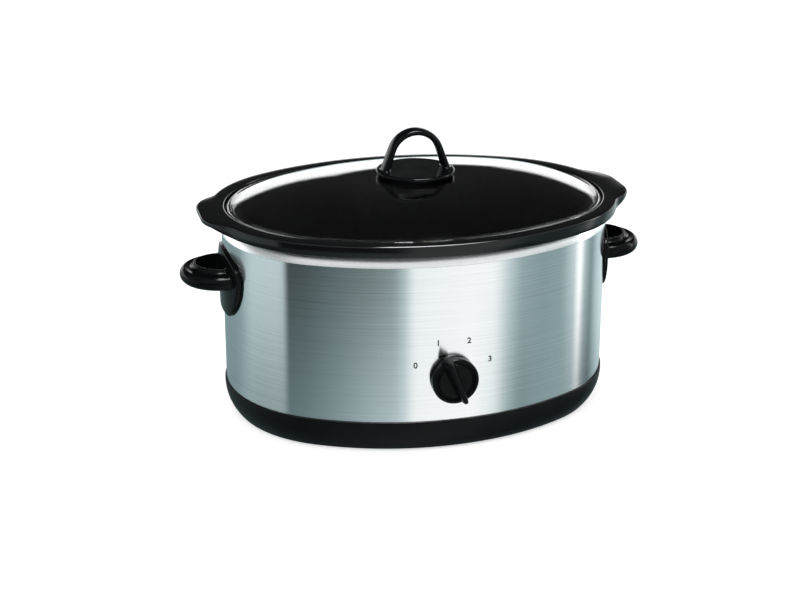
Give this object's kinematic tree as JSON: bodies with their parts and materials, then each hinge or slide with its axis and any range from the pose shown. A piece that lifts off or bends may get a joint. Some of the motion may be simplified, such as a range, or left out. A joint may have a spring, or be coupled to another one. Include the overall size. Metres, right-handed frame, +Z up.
{
  "type": "slow cooker",
  "caption": "Oval countertop slow cooker: brushed steel heating base with side handles and a rotary control, lift-out black stoneware crock and a clear glass lid with an arched handle.",
  "frame": {"origin": "on the surface the cooker stands on, under the middle of its footprint", "axes": "+Z up, X along the body's long axis with the side handles at -X and +X, control knob facing -Y"},
  "size_m": [0.441, 0.299, 0.264],
  "materials": {
    "skirt_plastic": "satin black moulding",
    "plated_steel": "zinc-plated sheet",
    "feet_rubber": "matt dark rubber",
    "screw_steel": "bright plated steel",
    "gland_plastic": "matt black moulding",
    "brushed_wrap": "horizontally brushed stainless steel",
    "bright_well": "bright rolled steel",
    "heater_mica": "glass-fibre and mica band",
    "fuse_brass": "plain",
    "lead_insulation": "silicone-braided lead",
    "switch_resin": "phenolic resin",
    "handle_plastic": "glossy black moulding",
    "knob_plastic": "glossy black moulding",
    "glazed_stoneware": "glossy black glaze",
    "clear_glass": "clear tempered glass",
    "lid_handle_plastic": "glossy black moulding",
    "gasket_rubber": "silicone rubber"
  },
  "bodies": {
    "base": {"base_skirt": "skirt_plastic", "bottom_cover": "plated_steel", "rubber_feet": "feet_rubber", "cover_screws": "screw_steel", "cord_gland": "gland_plastic", "steel_wrap": "brushed_wrap", "heating_well": "bright_well", "band_heater": "heater_mica", "heater_strap": "plated_steel", "strap_screw": "screw_steel", "heat_shield": "plated_steel", "tie_bolt": "screw_steel", "tie_sleeves": "plated_steel", "tie_nut": "screw_steel", "thermal_fuse": "fuse_brass", "fuse_clip": "plated_steel", "lead_wires": "lead_insulation", "switch_plate": "plated_steel", "rotary_switch": "switch_resin", "switch_nut": "screw_steel", "left_handle": "handle_plastic", "right_handle": "handle_plastic", "handle_backplates": "plated_steel", "handle_screws": "screw_steel"},
    "control": {"switch_shaft": "screw_steel", "knob": "knob_plastic", "knob_clip": "plated_steel"},
    "crock": {"crock": "glazed_stoneware"},
    "lid": {"lid_glass": "clear_glass", "lid_handle": "lid_handle_plastic", "lid_gasket": "gasket_rubber", "lid_screw": "screw_steel", "lid_washer": "gasket_rubber"}
  },
  "joints": [
    {"name": "knob_turn", "type": "hinge", "parent": "base", "child": "control", "pos_m": [0, -0.1293, 0.0715], "axis": [0, 1, 0], "range_deg": [-45, 90]},
    {"name": "crock_lift", "type": "slide", "parent": "base", "child": "crock", "axis": [0, 0, 1], "range_m": [0, 0.2]},
    {"name": "lid_lift", "type": "slide", "parent": "crock", "child": "lid", "axis": [0, 0, 1], "range_m": [0, 0.12]}
  ]
}
